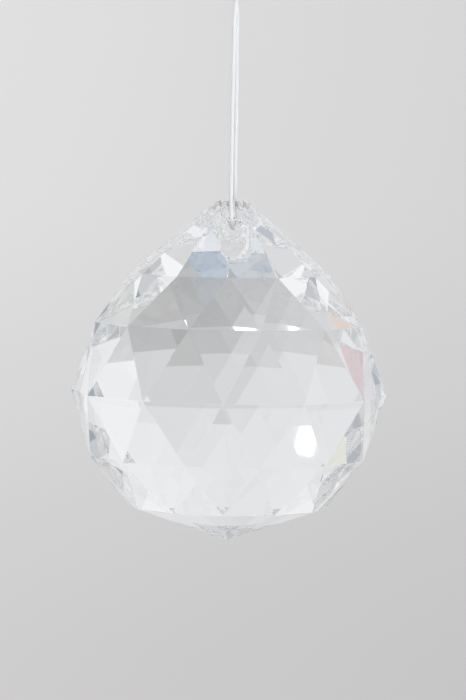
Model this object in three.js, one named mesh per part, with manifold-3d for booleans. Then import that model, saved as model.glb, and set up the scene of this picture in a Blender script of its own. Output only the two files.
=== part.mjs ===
// A cut glass ball on a doubled nylon line that is tied into a small hanging loop.
// Millimetres, +Z up, with the origin at the inside top of the hanging loop, where a hook goes.
// The ball's cross bore runs along Y, and its front faces -Y.

import * as THREE from 'three';
import { mergeVertices } from 'three/addons/utils/BufferGeometryUtils.js';
import Module from 'manifold-3d';

const wasm = await Module();
wasm.setup();

// Place: how far the ball's girdle, its widest ring of corners, hangs below the hook.
const GIRDLE_DROP = 62;

// The ball's cut. Each ring has FACET_COLUMNS corners, at a radius and a height above the girdle,
// and the corners of a staggered ring stand half a column round from those of the girdle.
const FACET_COLUMNS = 12;
const FACET_TURN_DEG = -6.5; // of a girdle corner from the front, because the bore is drilled a little out of line
const NECK_TOP = { radius: 1.85, height: 24.35, staggered: false };
const COLLAR = { radius: 7.75, height: 19.4, staggered: false };
const CROWN = { radius: 12.55, height: 15.2, staggered: false };
const UPPER_BREAK = { radius: 17.4, height: 8.95, staggered: true };
const GIRDLE = { radius: 20, height: 0, staggered: false };
const LOWER_BREAK = { radius: 17.8, height: -8.05, staggered: true };
const PAVILION = { radius: 12.6, height: -14.5, staggered: false };
const POINT_HEIGHT = -18.85;

// The bore through the neck, and the round-bottomed recess at each of its mouths.
const BORE_RADIUS = 0.85;
const BORE_HEIGHT = 20.6;
const BORE_SIDE = 0.25; // how far the bore is drilled off the middle of the neck
const BORE_CHAMFER = 0.55;
const BORE_SIDES = 32;
const RECESS_WIDTH = 3.8;
const RECESS_BOTTOM = 17;
const RECESS_FLOOR = 4.1; // from the ball's axis to the upright wall that the bore opens in
const RECESS_ARC_STEPS = 12;
const CUT_PAST = 1; // how far a cutting solid runs past the glass

// The line, its knot and its hanging loop.
const LINE_DIAMETER = 0.5;
const LINE_SIDES = 8;
const LINE_STEPS = 78;
const LOOP_STEPS = 24;
const KNOT_RADIUS = 1.05;
const KNOT_END_RADIUS = 0.8;
const KNOT_BOTTOM = 51;
const KNOT_LENGTH = 2.6;
const KNOT_SIDES = 12;
const PIECE_GAP = 0.3;

// The line's route, as points above the girdle: down the front strand, through the bore and up the back.
const LINE_ROUTE = [
  [0.28, -0.28, KNOT_BOTTOM - PIECE_GAP],
  [0.1, -0.34, 49.6],
  [-0.04, -0.43, 48.2],
  [-0.11, -0.72, 44],
  [-0.17, -0.98, 40.5],
  [-0.21, -1.22, 37],
  [-0.24, -1.5, 33],
  [-0.26, -1.8, 29],
  [-0.28, -2.06, 26.4],
  [-0.3, -2.3, 25.1],
  [-0.32, -2.72, 24.3],
  [-0.35, -3.4, 23.65],
  [-0.38, -4.12, 23.18],
  [-0.4, -4.66, 22.74],
  [-0.4, -4.88, 22.24],
  [-0.38, -4.66, 21.76],
  [-0.28, -4.05, 21.32],
  [-0.04, -3.45, 21.02],
  [0.02, -2, 21.1],
  [0.25, 0, 21.14],
  [0.4, 2, 21.12],
  [0.47, 3.4, 21.08],
  [0.52, 4.05, 21.34],
  [0.55, 4.66, 21.76],
  [0.57, 4.88, 22.24],
  [0.58, 4.66, 22.74],
  [0.58, 4.12, 23.18],
  [0.58, 3.4, 23.65],
  [0.57, 2.72, 24.3],
  [0.56, 2.3, 25.1],
  [0.54, 2.06, 26.4],
  [0.51, 1.8, 29],
  [0.48, 1.5, 33],
  [0.45, 1.22, 37],
  [0.41, 0.98, 40.5],
  [0.35, 0.72, 44],
  [0.27, 0.43, 48.2],
  [0.06, 0.34, 49.6],
  [-0.2, 0.28, KNOT_BOTTOM - PIECE_GAP],
];

// The hanging loop's route, from the knot up one side, over the hook's place and down the other.
const LOOP_ROUTE = [
  [-0.32, 0, KNOT_BOTTOM + KNOT_LENGTH + PIECE_GAP],
  [-0.75, 0, 55.2],
  [-1.75, 0, 57.4],
  [-2.4, 0, 59.4],
  [-2.05, 0, 61.2],
  [0, 0, GIRDLE_DROP + LINE_DIAMETER / 2],
  [2.05, 0, 61.2],
  [2.4, 0, 59.4],
  [1.75, 0, 57.4],
  [0.75, 0, 55.2],
  [0.32, 0, KNOT_BOTTOM + KNOT_LENGTH + PIECE_GAP],
];

const GLASS = new THREE.MeshStandardMaterial({
  color: 0xe8eef2, roughness: 0.02, metalness: 0, transparent: true, opacity: 0.35,
});
const NYLON = new THREE.MeshStandardMaterial({ color: 0xe9eaf0, roughness: 0.25, metalness: 0 });

// A closed geometry as a manifold solid.
function solidOf(geometry) {
  const bare = geometry.clone();
  bare.deleteAttribute('normal');
  bare.deleteAttribute('uv');
  const merged = mergeVertices(bare, 1e-5);
  return new wasm.Manifold(new wasm.Mesh({
    numProp: 3,
    vertProperties: new Float32Array(merged.attributes.position.array),
    triVerts: new Uint32Array(merged.index.array),
  }));
}

// A manifold solid as a geometry.
function geometryOf(solid) {
  const mesh = solid.getMesh();
  const geometry = new THREE.BufferGeometry();
  geometry.setAttribute('position', new THREE.BufferAttribute(new Float32Array(mesh.vertProperties), 3));
  geometry.setIndex(new THREE.BufferAttribute(new Uint32Array(mesh.triVerts), 1));
  geometry.computeVertexNormals();
  return geometry;
}

// The corners of one ring. Column 0 stands at the front, and the columns follow anticlockwise from above.
function ringCorners(ring) {
  const corners = [];
  for (let column = 0; column < FACET_COLUMNS; column += 1) {
    const columns = column + (ring.staggered ? 0.5 : 0);
    const angle = THREE.MathUtils.degToRad(FACET_TURN_DEG + (columns * 360) / FACET_COLUMNS);
    corners.push(new THREE.Vector3(ring.radius * Math.sin(angle), -ring.radius * Math.cos(angle), ring.height));
  }
  return corners;
}

// The facets between two rings: triangles where one is staggered, and otherwise a trapezoid for each column.
function bandTriangles(lower, upper, lowerStart, upperStart) {
  const triangles = [];
  for (let column = 0; column < FACET_COLUMNS; column += 1) {
    const next = (column + 1) % FACET_COLUMNS;
    const [low, lowNext] = [lowerStart + column, lowerStart + next];
    const [high, highNext] = [upperStart + column, upperStart + next];
    if (lower.staggered && !upper.staggered) {
      triangles.push([low, highNext, high], [low, lowNext, highNext]);
    } else {
      triangles.push([low, lowNext, high], [high, lowNext, highNext]);
    }
  }
  return triangles;
}

// The cut ball before it is drilled: a point, rings of corners from the bottom up, and a flat top.
function facetedBall(rings, pointHeight) {
  const corners = [new THREE.Vector3(0, 0, pointHeight)];
  const starts = rings.map((ring) => corners.push(...ringCorners(ring)) - FACET_COLUMNS);
  const top = corners.push(new THREE.Vector3(0, 0, rings.at(-1).height)) - 1;
  const triangles = [];
  for (let column = 0; column < FACET_COLUMNS; column += 1) {
    const next = (column + 1) % FACET_COLUMNS;
    triangles.push([0, starts[0] + next, starts[0] + column]);
    triangles.push([starts.at(-1) + column, starts.at(-1) + next, top]);
  }
  for (let i = 0; i + 1 < rings.length; i += 1) {
    triangles.push(...bandTriangles(rings[i], rings[i + 1], starts[i], starts[i + 1]));
  }
  const geometry = new THREE.BufferGeometry().setFromPoints(corners);
  geometry.setIndex(triangles.flat());
  return geometry;
}

// One recess in front of the bore: a slot with a round bottom, from its upright wall out past the glass.
function recessCutter() {
  const half = RECESS_WIDTH / 2;
  const outline = new THREE.Shape();
  outline.moveTo(-half, NECK_TOP.height + CUT_PAST);
  outline.lineTo(-half, RECESS_BOTTOM + half);
  outline.absarc(0, RECESS_BOTTOM + half, half, Math.PI, 2 * Math.PI);
  outline.lineTo(half, NECK_TOP.height + CUT_PAST);
  outline.closePath();
  const depth = CROWN.radius + CUT_PAST - RECESS_FLOOR;
  const cutter = new THREE.ExtrudeGeometry(outline, { depth, bevelEnabled: false, curveSegments: RECESS_ARC_STEPS });
  return cutter.rotateX(Math.PI / 2).translate(0, -RECESS_FLOOR, 0);
}

// The chamfer at the front mouth of the bore, as a cone that opens towards the front.
function chamferCutter() {
  const wide = BORE_RADIUS + 2 * BORE_CHAMFER;
  const cone = new THREE.CylinderGeometry(BORE_RADIUS, wide, 2 * BORE_CHAMFER, BORE_SIDES);
  return cone.translate(0, -RECESS_FLOOR, 0);
}

// The bore with a chamfer at each mouth, along Y through the neck.
function boreCutter() {
  const bore = new THREE.CylinderGeometry(BORE_RADIUS, BORE_RADIUS, 2 * (RECESS_FLOOR + CUT_PAST), BORE_SIDES);
  const chamfer = chamferCutter();
  const other = chamfer.clone().rotateZ(Math.PI);
  const cutter = solidOf(bore).add(solidOf(chamfer)).add(solidOf(other));
  return cutter.translate([BORE_SIDE, 0, BORE_HEIGHT]);
}

// The glass ball, drilled and recessed, with its girdle at height 0.
function glassBall() {
  const rings = [PAVILION, LOWER_BREAK, GIRDLE, UPPER_BREAK, CROWN, COLLAR, NECK_TOP];
  const recess = recessCutter();
  const other = recess.clone().rotateZ(Math.PI);
  const cut = solidOf(facetedBall(rings, POINT_HEIGHT)).subtract(solidOf(recess)).subtract(solidOf(other));
  return geometryOf(cut.subtract(boreCutter()));
}

// A round tube of the line's diameter along a route.
function lineTube(route, steps) {
  const curve = new THREE.CatmullRomCurve3(route.map((point) => new THREE.Vector3(...point)), false, 'centripetal');
  const section = new THREE.Shape();
  for (let side = 0; side < LINE_SIDES; side += 1) {
    const angle = (side * 2 * Math.PI) / LINE_SIDES;
    const corner = [(LINE_DIAMETER / 2) * Math.cos(angle), (LINE_DIAMETER / 2) * Math.sin(angle)];
    if (side === 0) section.moveTo(...corner);
    else section.lineTo(...corner);
  }
  section.closePath();
  return new THREE.ExtrudeGeometry(section, { steps, bevelEnabled: false, extrudePath: curve });
}

// The knot that gathers the strands, as a barrel round the line.
function knotBarrel() {
  const middle = KNOT_LENGTH / 2;
  const profile = [
    new THREE.Vector2(0, -middle),
    new THREE.Vector2(KNOT_END_RADIUS, -middle),
    new THREE.Vector2(KNOT_RADIUS, -middle / 2),
    new THREE.Vector2(KNOT_RADIUS, middle / 2),
    new THREE.Vector2(KNOT_END_RADIUS, middle),
    new THREE.Vector2(0, middle),
  ];
  return new THREE.LatheGeometry(profile, KNOT_SIDES).rotateX(Math.PI / 2);
}

// One named piece of the part.
function piece(name, geometry, material, height = 0) {
  const mesh = new THREE.Mesh(geometry, material);
  mesh.name = name;
  mesh.position.z = height;
  return mesh;
}

const hangingBall = new THREE.Group();
hangingBall.position.z = -GIRDLE_DROP;
hangingBall.add(piece('glass_ball', glassBall(), GLASS));
hangingBall.add(piece('nylon_line', lineTube(LINE_ROUTE, LINE_STEPS), NYLON));
hangingBall.add(piece('line_knot', knotBarrel(), NYLON, KNOT_BOTTOM + KNOT_LENGTH / 2));
hangingBall.add(piece('hanging_loop', lineTube(LOOP_ROUTE, LOOP_STEPS), NYLON));

export default hangingBall;
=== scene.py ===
"""Looks of a clear cut-glass ball that hangs on a doubled nylon line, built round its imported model.

Everything is in metres in the model's own frame: +Z up, the origin at the inside top of the hanging
loop, the ball's cross bore along Y and its front facing -Y.
"""

import logging
import math
from dataclasses import dataclass
from enum import Enum

import bmesh
import bpy
from mathutils import Matrix, Quaternion, Vector


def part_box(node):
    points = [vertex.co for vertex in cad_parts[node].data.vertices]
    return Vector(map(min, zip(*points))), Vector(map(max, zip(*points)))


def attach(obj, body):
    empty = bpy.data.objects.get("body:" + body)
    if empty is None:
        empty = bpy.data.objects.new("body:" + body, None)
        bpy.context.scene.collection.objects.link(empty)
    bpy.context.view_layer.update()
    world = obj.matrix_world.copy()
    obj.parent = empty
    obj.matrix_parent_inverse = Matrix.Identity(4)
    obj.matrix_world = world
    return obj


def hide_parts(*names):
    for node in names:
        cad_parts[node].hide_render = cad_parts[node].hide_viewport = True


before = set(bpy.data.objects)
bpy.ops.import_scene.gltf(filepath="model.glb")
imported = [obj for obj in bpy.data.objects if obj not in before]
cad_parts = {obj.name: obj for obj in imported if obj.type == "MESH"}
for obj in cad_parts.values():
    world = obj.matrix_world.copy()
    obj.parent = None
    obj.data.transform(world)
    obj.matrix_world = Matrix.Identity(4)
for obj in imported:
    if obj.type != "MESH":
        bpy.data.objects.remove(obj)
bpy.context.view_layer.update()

log = logging.getLogger("hanging_ball")

POINT_DEPTH = 0.01885  # of the ball's lower point under its girdle, the widest ring of corners

# The line's route, as points above the girdle: down the front strand, through the bore, up the back.
LINE_ROUTE = (
    (0.00028, -0.00028, 0.05070),
    (0.00010, -0.00034, 0.04960),
    (-0.00004, -0.00043, 0.04820),
    (-0.00011, -0.00072, 0.04400),
    (-0.00017, -0.00098, 0.04050),
    (-0.00021, -0.00122, 0.03700),
    (-0.00024, -0.00150, 0.03300),
    (-0.00026, -0.00180, 0.02900),
    (-0.00028, -0.00206, 0.02640),
    (-0.00030, -0.00230, 0.02510),
    (-0.00032, -0.00272, 0.02430),
    (-0.00035, -0.00340, 0.02365),
    (-0.00038, -0.00412, 0.02318),
    (-0.00040, -0.00466, 0.02274),
    (-0.00040, -0.00488, 0.02224),
    (-0.00038, -0.00466, 0.02176),
    (-0.00028, -0.00405, 0.02132),
    (-0.00004, -0.00345, 0.02102),
    (0.00002, -0.00200, 0.02110),
    (0.00025, 0.00000, 0.02114),
    (0.00040, 0.00200, 0.02112),
    (0.00047, 0.00340, 0.02108),
    (0.00052, 0.00405, 0.02134),
    (0.00055, 0.00466, 0.02176),
    (0.00057, 0.00488, 0.02224),
    (0.00058, 0.00466, 0.02274),
    (0.00058, 0.00412, 0.02318),
    (0.00058, 0.00340, 0.02365),
    (0.00057, 0.00272, 0.02430),
    (0.00056, 0.00230, 0.02510),
    (0.00054, 0.00206, 0.02640),
    (0.00051, 0.00180, 0.02900),
    (0.00048, 0.00150, 0.03300),
    (0.00045, 0.00122, 0.03700),
    (0.00041, 0.00098, 0.04050),
    (0.00035, 0.00072, 0.04400),
    (0.00027, 0.00043, 0.04820),
    (0.00006, 0.00034, 0.04960),
    (-0.00020, 0.00028, 0.05070),
)

# The hanging loop's route, from the knot up one side, over the hook's place and down the other.
LOOP_ROUTE = (
    (-0.00032, 0.00000, 0.0539),
    (-0.00075, 0.00000, 0.0552),
    (-0.00175, 0.00000, 0.0574),
    (-0.00240, 0.00000, 0.0594),
    (-0.00205, 0.00000, 0.0612),
    (0.00000, 0.00000, 0.06225),
    (0.00205, 0.00000, 0.0612),
    (0.00240, 0.00000, 0.0594),
    (0.00175, 0.00000, 0.0574),
    (0.00080, -0.00006, 0.0552),
)

# The short cut end above the knot, down to the knot's core.
TAIL_ROUTE = (
    (0.00105, 0.00085, 0.0552),
    (0.00075, 0.00060, 0.0546),
    (0.00042, 0.00022, 0.0539),
)
WRAP_LEAD = (0.00048, -0.00036, 0.0542)  # where the line turns from the loop into the wraps

# The lower cut end, as steps from the end of the last wrap.
CUT_END_STEPS = (
    (-0.00045, -0.00014, -0.0001),
    (-0.00095, -0.00042, -0.0001),
)


class Cut(Enum):
    """How a face of the ball was cut, which is also the slot of its material."""

    POLISHED = 0
    MILLED = 1
    DRILLED = 2


def linear(colour: str) -> tuple[float, float, float, float]:
    """Turns an sRGB hex colour into linear light.

    Args:
        colour: The colour as #RRGGBB.

    Returns:
        Linear red, green and blue, with an alpha of one.
    """
    channels = (int(colour[i : i + 2], 16) / 255 for i in (1, 3, 5))
    red, green, blue = (c / 12.92 if c <= 0.04045 else ((c + 0.055) / 1.055) ** 2.4 for c in channels)
    return red, green, blue, 1.0


def add_node(
    tree: bpy.types.NodeTree, kind: str, inputs: dict | None = None, **settings
) -> bpy.types.Node:
    """Adds a node with its settings, values and links.

    Args:
        tree: The node tree that gets the node.
        kind: The node's type name.
        inputs: For each input, by name or number, its value, or the output socket that feeds it.
        **settings: The node's own properties.

    Returns:
        The new node.
    """
    node = tree.nodes.new(kind)
    for name, value in settings.items():
        setattr(node, name, value)
    for key, value in (inputs or {}).items():
        if isinstance(value, bpy.types.NodeSocket):
            tree.links.new(value, node.inputs[key])
        else:
            node.inputs[key].default_value = value
    return node


def new_material(name: str) -> bpy.types.Material:
    """Makes an empty node material."""
    material = bpy.data.materials.new(name)
    material.use_nodes = True
    material.node_tree.nodes.clear()
    return material


def bearing(azimuth: float, elevation: float) -> Vector:
    """Gives the unit vector towards a bearing.

    Args:
        azimuth: Degrees round from the front, -Y, anticlockwise seen from above.
        elevation: Degrees above the horizon.

    Returns:
        The unit vector from the object that way.
    """
    a, e = math.radians(azimuth), math.radians(elevation)
    return Vector((math.sin(a) * math.cos(e), -math.cos(a) * math.cos(e), math.sin(e)))


def activate(obj: bpy.types.Object) -> None:
    """Makes an object the only one selected, and the active one."""
    bpy.ops.object.select_all(action="DESELECT")
    obj.select_set(True)
    bpy.context.view_layer.objects.active = obj


@dataclass(frozen=True)
class PolishedCrystal:
    """Optical crown glass, ground flat and polished: clear to the edge, with crisp mirror-like facets."""

    tint: str = "#FDFEFF"
    ior: float = 1.51
    roughness: float = 0.02

    def material(self) -> bpy.types.Material:
        """Makes the polished glass material."""
        material = new_material("polished_crystal")
        tree = material.node_tree
        shader = add_node(tree, "ShaderNodeBsdfPrincipled", {
            "Base Color": linear(self.tint),
            "Roughness": self.roughness,
            "IOR": self.ior,
            "Transmission Weight": 1.0,
        })
        add_node(tree, "ShaderNodeOutputMaterial", {"Surface": shader.outputs["BSDF"]})
        return material


@dataclass(frozen=True)
class MilledCrystal:
    """The same glass in the recesses, milled and buffed: nearly clear, and rippled by the cutter."""

    tint: str = "#FDFDFE"
    ior: float = 1.51
    roughness: float = 0.04
    clearness: float = 0.9
    ripple_spacing: float = 0.0012
    ripple_depth: float = 0.0002
    ripple_detail: float = 1.0

    def material(self) -> bpy.types.Material:
        """Makes the milled glass material."""
        material = new_material("milled_crystal")
        tree = material.node_tree
        place = add_node(tree, "ShaderNodeTexCoord")
        ripples = add_node(tree, "ShaderNodeTexNoise", {
            "Vector": place.outputs["Object"],
            "Scale": 1 / self.ripple_spacing,
            "Detail": self.ripple_detail,
        })
        bump = add_node(tree, "ShaderNodeBump", {
            "Height": ripples.outputs["Fac"],
            "Strength": 1.0,
            "Distance": self.ripple_depth,
        })
        shader = add_node(tree, "ShaderNodeBsdfPrincipled", {
            "Base Color": linear(self.tint),
            "Roughness": self.roughness,
            "IOR": self.ior,
            "Transmission Weight": self.clearness,
            "Normal": bump.outputs["Normal"],
        })
        add_node(tree, "ShaderNodeOutputMaterial", {"Surface": shader.outputs["BSDF"]})
        return material


@dataclass(frozen=True)
class DrilledCrystal:
    """The same glass in the bore, left matt by the diamond drill: it blurs all that shows through it."""

    tint: str = "#FAFAFF"
    ior: float = 1.51
    roughness: float = 0.25

    def material(self) -> bpy.types.Material:
        """Makes the drilled glass material."""
        material = new_material("drilled_crystal")
        tree = material.node_tree
        shader = add_node(tree, "ShaderNodeBsdfPrincipled", {
            "Base Color": linear(self.tint),
            "Roughness": self.roughness,
            "IOR": self.ior,
            "Transmission Weight": 1.0,
        })
        add_node(tree, "ShaderNodeOutputMaterial", {"Surface": shader.outputs["BSDF"]})
        return material


@dataclass(frozen=True)
class DrawnNylon:
    """Clear nylon monofilament, drawn through a die: milky in the light, with a soft lengthwise sheen."""

    tint: str = "#E3E4E5"
    ior: float = 1.53
    roughness: float = 0.3
    clearness: float = 0.28
    seep_depth: float = 0.0004

    def material(self) -> bpy.types.Material:
        """Makes the nylon material."""
        material = new_material("drawn_nylon")
        tree = material.node_tree
        shader = add_node(tree, "ShaderNodeBsdfPrincipled", {
            "Base Color": linear(self.tint),
            "Roughness": self.roughness,
            "IOR": self.ior,
            "Transmission Weight": self.clearness,
            "Subsurface Weight": 1.0,
            "Subsurface Radius": (1.0, 1.0, 1.0),
            "Subsurface Scale": self.seep_depth,
        })
        add_node(tree, "ShaderNodeOutputMaterial", {"Surface": shader.outputs["BSDF"]})
        return material


@dataclass
class ViewCamera:
    """The camera, level with the ball's shoulder and a long way off for its size."""

    girdle: Vector
    azimuth: float = -4.5
    elevation: float = 4.48
    roll: float = 0.944
    distance: float = 0.6593
    aim_side: float = 0.00045
    aim_height: float = 0.0054
    frame_height: float = 0.08873
    sensor: float = 36.0
    nearest: float = 0.01
    farthest: float = 100.0

    def build(self) -> bpy.types.Object:
        """Adds the camera and makes it the scene's.

        Returns:
            The camera object.
        """
        place = self.girdle + bearing(self.azimuth, self.elevation) * self.distance
        to_the_side = bearing(self.azimuth + 90, 0) * self.aim_side
        aim = self.girdle + to_the_side + Vector((0, 0, self.aim_height))
        turn = (aim - place).to_track_quat("-Z", "Y").to_matrix().to_4x4()
        bpy.ops.object.camera_add()
        camera = bpy.context.object
        camera.name = "view_camera"
        camera.data.sensor_width = self.sensor
        camera.data.lens = self.sensor * self.distance / self.frame_height
        camera.data.clip_start, camera.data.clip_end = self.nearest, self.farthest
        camera.matrix_world = (
            Matrix.Translation(place) @ turn @ Matrix.Rotation(math.radians(self.roll), 4, "Z")
        )
        bpy.context.scene.camera = camera
        return camera


@dataclass
class HangingLine:
    """The nylon line: one length, doubled through the bore, then knotted into a small hanging loop."""

    girdle: Vector
    finish: DrawnNylon
    diameter: float = 0.0005
    length: float = 0.1175
    core_half_gap: float = 0.00025
    core_bottom: float = 0.0514
    core_top: float = 0.0532
    wraps: int = 4
    wrap_points: int = 12
    wrap_width: float = 0.0008
    wrap_depth: float = 0.00054
    wrap_pitch: float = 0.00054
    wrap_top: float = 0.0535
    wrap_start: float = math.radians(75)
    smoothness: int = 6
    roundness: int = 4

    def tail(self) -> list[tuple[float, float, float]]:
        """Gives the cut end above the knot, and on down one strand of the knot's core."""
        gap = self.core_half_gap
        return [*TAIL_ROUTE, (gap, 0.0, self.core_top), (gap, 0.0, self.core_bottom)]

    def turns(self) -> list[tuple[float, float, float]]:
        """Gives the wraps round the two strands of the core, from the top down, and the lower cut end."""
        points = [WRAP_LEAD]
        for step in range(self.wraps * self.wrap_points + 1):
            share = step / self.wrap_points
            angle = -self.wrap_start - share * math.tau
            height = self.wrap_top - share * self.wrap_pitch
            points.append((self.wrap_width * math.cos(angle), self.wrap_depth * math.sin(angle), height))
        x, y, z = points[-1]
        points.extend((x + step_x, y + step_y, z + step_z) for step_x, step_y, step_z in CUT_END_STEPS)
        return points

    def route(self) -> list[Vector]:
        """Gives every point of the line in order, in the frame."""
        gap = self.core_half_gap
        core = [(-gap, 0.0, self.core_bottom), (-gap, 0.0, self.core_top)]
        points = [*self.tail(), *LINE_ROUTE, *core, *LOOP_ROUTE, *self.turns()]
        return [self.girdle + Vector(point) for point in points]

    def build(self) -> bpy.types.Object:
        """Returns:
            The curve object.
        """
        points = self.route()
        curve = bpy.data.curves.new("hanging_line", "CURVE")
        curve.dimensions = "3D"
        curve.resolution_u = curve.render_resolution_u = self.smoothness
        curve.bevel_depth = self.diameter / 2
        curve.bevel_resolution = self.roundness
        curve.use_fill_caps = True
        spline = curve.splines.new("BEZIER")
        spline.bezier_points.add(len(points) - 1)
        for knot, point in zip(spline.bezier_points, points):
            knot.co = point
            knot.handle_left_type = knot.handle_right_type = "AUTO"
        line = bpy.data.objects.new("hanging_line", curve)
        bpy.context.scene.collection.objects.link(line)
        curve.materials.append(self.finish.material())
        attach(line, "root")
        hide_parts("nylon_line", "line_knot", "hanging_loop")
        return line


@dataclass
class CutBall:
    """The ball: one solid of glass with flat facets, a cross bore and a recess at each of its mouths."""

    girdle: Vector
    polished: PolishedCrystal
    milled: MilledCrystal
    drilled: DrilledCrystal
    bore_side: float = 0.00025
    bore_rise: float = 0.0206
    bore_reach: float = 0.00092
    merge_distance: float = 0.000002
    flat_angle: float = math.radians(0.3)
    arris_angle: float = math.radians(5)
    arris_width: float = 0.00005
    rim_width: float = 0.00014
    curve_angle: float = math.radians(20)
    hull_slack: float = 0.00001

    def facets(self, mesh: bmesh.types.BMesh) -> set[bmesh.types.BMFace]:
        """Finds the outer facets, the faces that no corner of the ball stands proud of."""
        return {
            face for face in mesh.faces
            if all((v.co - face.verts[0].co).dot(face.normal) < self.hull_slack for v in mesh.verts)
        }

    def cut_of(self, face: bmesh.types.BMFace, facets: set[bmesh.types.BMFace]) -> Cut:
        """Tells how a face was cut.

        Args:
            face: A face of the ball.
            facets: The outer facets.

        Returns:
            Polished for a facet, drilled for the cross bore's wall, and otherwise milled.
        """
        if face in facets:
            return Cut.POLISHED
        axis_height = self.girdle.z + self.bore_rise
        reach = max(math.hypot(v.co.x - self.bore_side, v.co.z - axis_height) for v in face.verts)
        return Cut.DRILLED if reach < self.bore_reach else Cut.MILLED

    def copy_node(self) -> bpy.types.Object:
        """Copies the model's ball and merges its loose triangles into whole facets."""
        ball = bpy.data.objects.new("cut_ball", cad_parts["glass_ball"].data.copy())
        ball.data.name = "cut_ball"
        ball.data.materials.clear()
        bpy.context.scene.collection.objects.link(ball)
        activate(ball)
        bpy.ops.object.mode_set(mode="EDIT")
        bpy.ops.mesh.customdata_custom_splitnormals_clear()
        bpy.ops.mesh.select_all(action="SELECT")
        bpy.ops.mesh.remove_doubles(threshold=self.merge_distance)
        bpy.ops.mesh.dissolve_limited(angle_limit=self.flat_angle)
        bpy.ops.mesh.normals_make_consistent(inside=False)
        bpy.ops.mesh.faces_shade_flat()
        bpy.ops.object.mode_set(mode="OBJECT")
        return ball

    def dress(self, ball: bpy.types.Object) -> None:
        """Gives the facets the polished glass, the recesses the milled and the bore the drilled glass."""
        for finish in (self.polished, self.milled, self.drilled):
            ball.data.materials.append(finish.material())
        bpy.ops.object.mode_set(mode="EDIT")
        mesh = bmesh.from_edit_mesh(ball.data)
        facets = self.facets(mesh)
        for face in mesh.faces:
            cut = self.cut_of(face, facets)
            face.material_index = cut.value
            face.smooth = cut is not Cut.POLISHED
        for edge in mesh.edges:
            curved = all(face.smooth for face in edge.link_faces)
            edge.smooth = curved and edge.calc_face_angle() < self.curve_angle
        bmesh.update_edit_mesh(ball.data)
        bpy.ops.object.mode_set(mode="OBJECT")

    def soften(self, ball: bpy.types.Object) -> None:
        """Takes the sharpness off the arrises between facets and off the rims of the recesses."""
        bpy.ops.object.mode_set(mode="EDIT")
        bpy.ops.mesh.select_mode(type="EDGE")
        for facets_beside, width in ((2, self.arris_width), (1, self.rim_width)):
            bpy.ops.mesh.select_all(action="DESELECT")
            mesh = bmesh.from_edit_mesh(ball.data)
            for edge in mesh.edges:
                facets = sum(face.material_index == Cut.POLISHED.value for face in edge.link_faces)
                if facets == facets_beside and edge.calc_face_angle() > self.arris_angle:
                    edge.select = True
            bmesh.update_edit_mesh(ball.data)
            bpy.ops.mesh.bevel(offset=width, offset_type="OFFSET", segments=1, affect="EDGES")
        bpy.ops.object.mode_set(mode="OBJECT")

    def build(self) -> bpy.types.Object:
        """Builds the finished ball in place of the model's plain one.

        Returns:
            The ball's mesh object.
        """
        ball = self.copy_node()
        self.dress(ball)
        self.soften(ball)
        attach(ball, "root")
        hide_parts("glass_ball")
        return ball


@dataclass(frozen=True)
class SoftCard:
    """A soft-edged patch of the studio that the glass gathers light from."""

    name: str
    azimuth: float
    elevation: float
    spread: float
    colour: str
    level: float = 1.0


@dataclass(frozen=True)
class Glint:
    """A small bright panel of the studio that flashes in a few facets."""

    name: str
    azimuth: float
    elevation: float
    width: float
    height: float
    tilt: float
    level: float


@dataclass(frozen=True)
class LineLamp:
    """A round lamp beside the line, which lights it but shows nowhere itself."""

    name: str
    offset: tuple[float, float, float]
    size: float
    power: float


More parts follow.
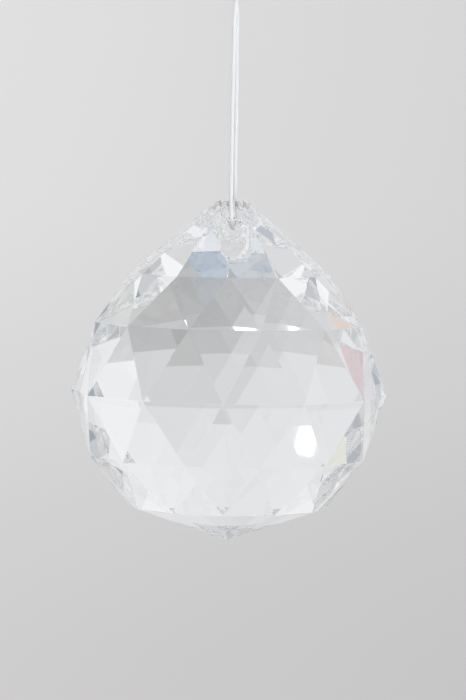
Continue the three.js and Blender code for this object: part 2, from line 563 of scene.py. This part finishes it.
@dataclass
class Studio:
    """A plain pale floor that curves up into a wall all round, under plain soft light, with a band of
    painted shade low on the wall.
    """

    girdle: Vector
    floor_drop: float = 0.75
    floor_radius: float = 2.2
    cove_radius: float = 0.6
    wall_height: float = 2.4
    pool_side: float = -0.30
    pool_height: float = 0.10
    lamp_gap: float = 1.0
    lamp_size: float = 0.1
    lamp_power: float = 3.6
    line_height: float = 0.04
    glint_distance: float = 6.0
    bounces: int = 40
    matt_bounces: int = 2
    cove_steps: int = 12
    round_steps: int = 96
    seam_distance: float = 0.0001
    paper_pale: str = "#E7E5E3"
    # Painted shade: the grey of the band low on the wall, where the light on the wall falls off; the
    # three heights below place that band.
    painted_shade_grey: str = "#D7D4D3"
    painted_shade_foot: float = 0.18
    painted_shade_middle: float = 0.40
    painted_shade_head: float = 0.90
    below: str = "#9A9590"
    level_tone: str = "#DCDCDC"
    above_level: float = 1.1
    above: str = "#FFFFFF"
    cards: tuple[SoftCard, ...] = ()
    glints: tuple[Glint, ...] = ()
    line_lamps: tuple[LineLamp, ...] = ()

    @property
    def wall_radius(self) -> float:
        """The wall's distance from the ball's axis."""
        return self.floor_radius + self.cove_radius

    def backdrop(self) -> bpy.types.Object:
        """Spins the floor, its cove and the wall as one seamless bowl."""
        bottom = self.girdle.z - self.floor_drop
        centre = Vector((0, self.floor_radius, bottom + self.cove_radius))
        profile = [Vector((0, 0, bottom))]
        for step in range(self.cove_steps + 1):
            turn = math.radians(90 * step / self.cove_steps)
            profile.append(centre + self.cove_radius * Vector((0, math.sin(turn), -math.cos(turn))))
        profile.append(Vector((0, self.wall_radius, bottom + self.wall_height)))
        mesh = bpy.data.meshes.new("pale_backdrop")
        mesh.from_pydata(profile, [(i, i + 1) for i in range(len(profile) - 1)], [])
        bowl = bpy.data.objects.new("pale_backdrop", mesh)
        bpy.context.scene.collection.objects.link(bowl)
        activate(bowl)
        bpy.ops.object.mode_set(mode="EDIT")
        bpy.ops.mesh.select_all(action="SELECT")
        bpy.ops.mesh.spin(steps=self.round_steps, angle=math.tau, center=(0, 0, bottom), axis=(0, 0, 1))
        bpy.ops.mesh.select_all(action="SELECT")
        bpy.ops.mesh.remove_doubles(threshold=self.seam_distance)
        bpy.ops.mesh.normals_make_consistent(inside=True)
        bpy.ops.mesh.faces_shade_smooth()
        bpy.ops.object.mode_set(mode="OBJECT")
        mesh.materials.append(self.paper_with_painted_shade())
        bowl.visible_glossy = bowl.visible_transmission = False
        bowl.visible_diffuse = bowl.visible_shadow = False
        return bowl

    def paper_with_painted_shade(self) -> bpy.types.Material:
        """Makes matt background paper that is evenly pale except for painted shade: a soft greyer band
        below the ball's height, where the light on the wall falls off.
        """
        material = new_material("paper_with_painted_shade")
        tree = material.node_tree
        place = add_node(tree, "ShaderNodeTexCoord").outputs["Object"]
        height = add_node(tree, "ShaderNodeSeparateXYZ", {"Vector": place}).outputs["Z"]
        share = add_node(tree, "ShaderNodeMapRange", {
            "Value": height,
            "From Min": self.girdle.z - self.floor_drop,
            "From Max": self.girdle.z,
        }).outputs["Result"]
        # Painted shade: the ramp runs from pale to a grey middle and back to pale, darkening the lower
        # wall where the light falls off.
        painted_shade_bands = add_node(tree, "ShaderNodeValToRGB", {"Fac": share})
        painted_shade_bands.color_ramp.interpolation = "EASE"
        stops = painted_shade_bands.color_ramp.elements
        stops[0].position, stops[0].color = self.painted_shade_foot, linear(self.paper_pale)
        stops[1].position, stops[1].color = self.painted_shade_head, linear(self.paper_pale)
        stops.new(self.painted_shade_middle).color = linear(self.painted_shade_grey)
        shader = add_node(tree, "ShaderNodeBsdfDiffuse", {"Color": painted_shade_bands.outputs["Color"]})
        add_node(tree, "ShaderNodeOutputMaterial", {"Surface": shader.outputs["BSDF"]})
        return material

    def surroundings(self) -> None:
        """Sets the studio's soft surroundings, which light everything and show through the glass."""
        world = bpy.data.worlds.new("soft_studio")
        world.use_nodes = True
        tree = world.node_tree
        tree.nodes.clear()
        way = add_node(tree, "ShaderNodeTexCoord").outputs["Generated"]
        height = add_node(tree, "ShaderNodeSeparateXYZ", {"Vector": way}).outputs["Z"]
        share = add_node(tree, "ShaderNodeMapRange", {
            "Value": height,
            "From Min": -1.0,
            "From Max": 1.0,
        })
        ramp = add_node(tree, "ShaderNodeValToRGB", {"Fac": share.outputs["Result"]})
        ramp.color_ramp.elements[0].color = linear(self.below)
        ramp.color_ramp.elements[1].color = tuple(c * self.above_level for c in linear(self.above))
        ramp.color_ramp.elements.new(0.5).color = linear(self.level_tone)
        colour = ramp.outputs["Color"]
        for card in self.cards:
            tightness = 1 / math.radians(card.spread) ** 2
            facing = add_node(tree, "ShaderNodeVectorMath", {
                0: way,
                1: bearing(card.azimuth, card.elevation),
            }, operation="DOT_PRODUCT")
            fall = add_node(tree, "ShaderNodeMath", {
                0: facing.outputs["Value"],
                1: tightness,
                2: -tightness,
            }, operation="MULTIPLY_ADD")
            cover = add_node(tree, "ShaderNodeMath", {0: fall.outputs[0]}, operation="EXPONENT")
            tone = [channel * card.level for channel in linear(card.colour)[:3]]
            mix = add_node(tree, "ShaderNodeMix", {
                "Factor": cover.outputs[0],
                "A": colour,
                "B": (*tone, 1.0),
            }, data_type="RGBA")
            colour = mix.outputs["Result"]
        light = add_node(tree, "ShaderNodeBackground", {"Color": colour, "Strength": 1.0})
        add_node(tree, "ShaderNodeOutputWorld", {"Surface": light.outputs[0]})
        bpy.context.scene.world = world

    def add_lamp(
        self, name: str, place: Vector, target: Vector, size: float, power: float
    ) -> bpy.types.Object:
        """Adds a round lamp that lights matt things and does not show itself.

        Args:
            name: The lamp's name.
            place: Where it stands.
            target: The point it is turned to.
            size: Its diameter.
            power: Its power in watts.

        Returns:
            The lamp.
        """
        bpy.ops.object.light_add(type="AREA", location=place)
        lamp = bpy.context.object
        lamp.name = name
        lamp.data.shape = "DISK"
        lamp.data.size = size
        lamp.data.energy = power
        lamp.rotation_euler = (target - place).to_track_quat("-Z", "Y").to_euler()
        lamp.visible_camera = lamp.visible_glossy = lamp.visible_transmission = False
        return lamp

    def lamps(self) -> None:
        """Adds the lamp behind the ball, for the light on the wall, and those beside the line."""
        pool = Vector((self.pool_side, self.wall_radius, self.girdle.z + self.pool_height))
        place = pool - Vector((0, self.lamp_gap, 0))
        self.add_lamp("wall_lamp", place, pool, self.lamp_size, self.lamp_power)
        line = Vector((0, 0, self.girdle.z + self.line_height))
        for lamp in self.line_lamps:
            self.add_lamp(lamp.name, line + Vector(lamp.offset), line, lamp.size, lamp.power)

    def add_glint(self, glint: Glint) -> None:
        """Adds a small bright panel far behind the ball, seen only as a crisp flash in the glass."""
        out = bearing(glint.azimuth, glint.elevation)
        turn = out.to_track_quat("Z", "Y") @ Quaternion((0, 0, 1), -math.radians(glint.tilt))
        bpy.ops.object.light_add(type="AREA", location=self.girdle + self.glint_distance * out)
        lamp = bpy.context.object
        lamp.name = glint.name
        lamp.data.shape = "RECTANGLE"
        lamp.data.size, lamp.data.size_y = glint.width, glint.height
        lamp.data.energy = glint.level * math.pi * glint.width * glint.height
        lamp.rotation_euler = turn.to_euler()
        lamp.visible_camera = lamp.visible_diffuse = lamp.visible_glossy = False

    def set_camera_finish(self) -> None:
        """Keeps tones as lit, and lets light bounce as often as it does between facets."""
        scene = bpy.context.scene
        scene.view_settings.view_transform = "Standard"
        scene.cycles.max_bounces = self.bounces
        scene.cycles.transmission_bounces = self.bounces
        scene.cycles.glossy_bounces = self.bounces
        scene.cycles.diffuse_bounces = self.matt_bounces
        scene.cycles.caustics_reflective = False

    def build(self) -> None:
        """Builds the backdrop, the surroundings, the lamps and the glints."""
        self.backdrop()
        self.surroundings()
        self.lamps()
        for glint in self.glints:
            self.add_glint(glint)
        self.set_camera_finish()


# Tones that several cards share.
BRIGHT = "#FCFDFE"
PALE = "#E8E9EA"
GREY = "#CECFD0"
SHADE = "#A8A8A8"
SLATE = "#446688"
INK = "#404A66"

# The cards round the ball, each later one laid over those before it. The last three are tinted.
CARDS = (
    SoftCard("left_window", -35, 5, 20, BRIGHT, 1.15),
    SoftCard("right_rear_window", 130, 0, 15, BRIGHT, 1.05),
    SoftCard("left_floor", -90, -70, 30, PALE),
    SoftCard("right_floor", 70, -50, 20, PALE),
    SoftCard("right_wall", 80, 20, 25, GREY),
    SoftCard("left_drape", -80, 30, 15, INK),
    SoftCard("right_screen", 30, 0, 15, SLATE),
    SoftCard("left_screen", -35, -15, 10, INK),
    SoftCard("high_left_screen", -35, 25, 10, SHADE),
    SoftCard("left_rear_screen", -120, 0, 5, SLATE),
    SoftCard("ceiling", 0, 80, 15, "#D4DAE0"),
    SoftCard("camera_stand", 0, 10, 5, SLATE),
    SoftCard("low_rear_shade", 165, -35, 15, SHADE),
    SoftCard("low_rear_paper", -165, -20, 15, GREY),
    SoftCard("left_rear_wall", -140, 0, 10, GREY),
    SoftCard("rear_paper", -155, 5, 15, PALE),
    SoftCard("high_rear_paper", 180, 30, 15, "#E4E4E4"),
    SoftCard("rear_shade", 165, 0, 5, GREY),
    SoftCard("low_rear_sky", 170, -60, 8, "#98ACC2"),
    SoftCard("floor_sheet", -30, -60, 10, BRIGHT, 1.15),
    SoftCard("rose_card", -130, -10, 5, "#D8C4C8"),
    SoftCard("peach_card", -130, -20, 5, "#E2D0C4"),
    SoftCard("straw_card", -140, 25, 5, "#E4E6D8"),
)

# The bright panels, each in the narrow direction that its facets look in.
GLINTS = (
    Glint("large_flash", -158.2, 13.1, 0.025, 0.035, -10, 1.1),
    Glint("centre_flash", -176.3, -16.3, 0.035, 0.020, 0, 1.2),
    Glint("right_flash", -160.2, -17.0, 0.012, 0.020, 0, 1.1),
    Glint("left_flash", 168.7, -18.3, 0.012, 0.030, 0, 1.1),
)

# The lamps beside the line, placed from the middle of its strands.
LINE_LAMPS = (
    LineLamp("left_line_lamp", (-0.4, -0.2, 0.1), 0.5, 0.35),
    LineLamp("front_line_lamp", (0.1, -0.45, 0.01), 0.3, 1.25),
    LineLamp("right_line_lamp", (0.35, -0.25, 0.1), 0.5, 1.0),
)


def main() -> None:
    """Builds the camera, the line, the ball and the studio."""
    logging.basicConfig(level=logging.INFO, format="%(message)s")
    girdle = Vector((0, 0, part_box("glass_ball")[0].z + POINT_DEPTH))
    log.info("camera: %s", ViewCamera(girdle).build().name)
    line = HangingLine(girdle, DrawnNylon()).build()
    log.info("line: %s", line.name)
    ball = CutBall(girdle, PolishedCrystal(), MilledCrystal(), DrilledCrystal()).build()
    log.info("ball: %s, %d faces", ball.name, len(ball.data.polygons))
    Studio(girdle, cards=CARDS, glints=GLINTS, line_lamps=LINE_LAMPS).build()
    log.info("studio: %d cards, %d glints", len(CARDS), len(GLINTS))


if __name__ == "__main__":
    main()
